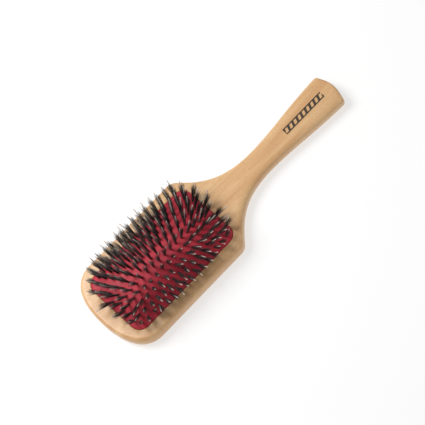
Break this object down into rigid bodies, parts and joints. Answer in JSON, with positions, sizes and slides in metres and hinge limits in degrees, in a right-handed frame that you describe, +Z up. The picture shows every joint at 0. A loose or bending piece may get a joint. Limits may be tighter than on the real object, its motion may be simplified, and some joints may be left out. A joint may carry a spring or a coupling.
{
  "type": "paddle hairbrush",
  "caption": "Wooden paddle hairbrush with a domed rubber cushion, leaning rows of bristle tufts with longer quills, and a handle that flares to its end.",
  "frame": {"origin": "on the resting plane, under the centre of the brush's outline, with the brush lying on its flat back and the bristles up", "axes": "+X runs along the brush to the butt of the handle, +Y across the head, +Z up out of the bristles"},
  "size_m": [0.25, 0.079, 0.0386],
  "materials": {
    "wood": "clear satin lacquer on light beech",
    "red_rubber": "smooth red rubber",
    "boar_bristle": "near-black natural bristle",
    "nylon_quill": "translucent whitish nylon"
  },
  "bodies": {
    "handle": {"wooden_body": "wood", "cushion_bead": "red_rubber"},
    "cushion": {"cushion_pad": "red_rubber"},
    "row_01": {"bristle_row_01": "boar_bristle", "quill_row_01": "nylon_quill"},
    "row_02": {"bristle_row_02": "boar_bristle", "quill_row_02": "nylon_quill"},
    "row_03": {"bristle_row_03": "boar_bristle", "quill_row_03": "nylon_quill"},
    "row_04": {"bristle_row_04": "boar_bristle", "quill_row_04": "nylon_quill"},
    "row_05": {"bristle_row_05": "boar_bristle", "quill_row_05": "nylon_quill"},
    "row_06": {"bristle_row_06": "boar_bristle", "quill_row_06": "nylon_quill"},
    "row_07": {"bristle_row_07": "boar_bristle", "quill_row_07": "nylon_quill"},
    "row_08": {"bristle_row_08": "boar_bristle", "quill_row_08": "nylon_quill"},
    "row_09": {"bristle_row_09": "boar_bristle", "quill_row_09": "nylon_quill"},
    "row_10": {"bristle_row_10": "boar_bristle", "quill_row_10": "nylon_quill"}
  },
  "joints": [
    {"name": "cushion_press", "type": "slide", "parent": "handle", "child": "cushion", "axis": [0, 0, 1], "range_m": [-0.003, 0], "stiffness_N_per_m": 1500},
    {"name": "row_01_rock", "type": "hinge", "parent": "cushion", "child": "row_01", "pos_m": [-0.0606, -0.02475, 0.01392], "axis": [1, 0, 0], "range_deg": [-6, 6], "stiffness_Nm_per_rad": 0.3},
    {"name": "row_02_rock", "type": "hinge", "parent": "cushion", "child": "row_02", "pos_m": [-0.0606, -0.01925, 0.01601], "axis": [1, 0, 0], "range_deg": [-6, 6], "stiffness_Nm_per_rad": 0.3},
    {"name": "row_03_rock", "type": "hinge", "parent": "cushion", "child": "row_03", "pos_m": [-0.0606, -0.01375, 0.01766], "axis": [1, 0, 0], "range_deg": [-6, 6], "stiffness_Nm_per_rad": 0.3},
    {"name": "row_04_rock", "type": "hinge", "parent": "cushion", "child": "row_04", "pos_m": [-0.0606, -0.00825, 0.01811], "axis": [1, 0, 0], "range_deg": [-6, 6], "stiffness_Nm_per_rad": 0.3},
    {"name": "row_05_rock", "type": "hinge", "parent": "cushion", "child": "row_05", "pos_m": [-0.0606, -0.00275, 0.01868], "axis": [1, 0, 0], "range_deg": [-6, 6], "stiffness_Nm_per_rad": 0.3},
    {"name": "row_06_rock", "type": "hinge", "parent": "cushion", "child": "row_06", "pos_m": [-0.0606, 0.00275, 0.01835], "axis": [1, 0, 0], "range_deg": [-6, 6], "stiffness_Nm_per_rad": 0.3},
    {"name": "row_07_rock", "type": "hinge", "parent": "cushion", "child": "row_07", "pos_m": [-0.0606, 0.00825, 0.01843], "axis": [1, 0, 0], "range_deg": [-6, 6], "stiffness_Nm_per_rad": 0.3},
    {"name": "row_08_rock", "type": "hinge", "parent": "cushion", "child": "row_08", "pos_m": [-0.0606, 0.01375, 0.01739], "axis": [1, 0, 0], "range_deg": [-6, 6], "stiffness_Nm_per_rad": 0.3},
    {"name": "row_09_rock", "type": "hinge", "parent": "cushion", "child": "row_09", "pos_m": [-0.0606, 0.01925, 0.01622], "axis": [1, 0, 0], "range_deg": [-6, 6], "stiffness_Nm_per_rad": 0.3},
    {"name": "row_10_rock", "type": "hinge", "parent": "cushion", "child": "row_10", "pos_m": [-0.0606, 0.02475, 0.01399], "axis": [1, 0, 0], "range_deg": [-6, 6], "stiffness_Nm_per_rad": 0.3}
  ]
}
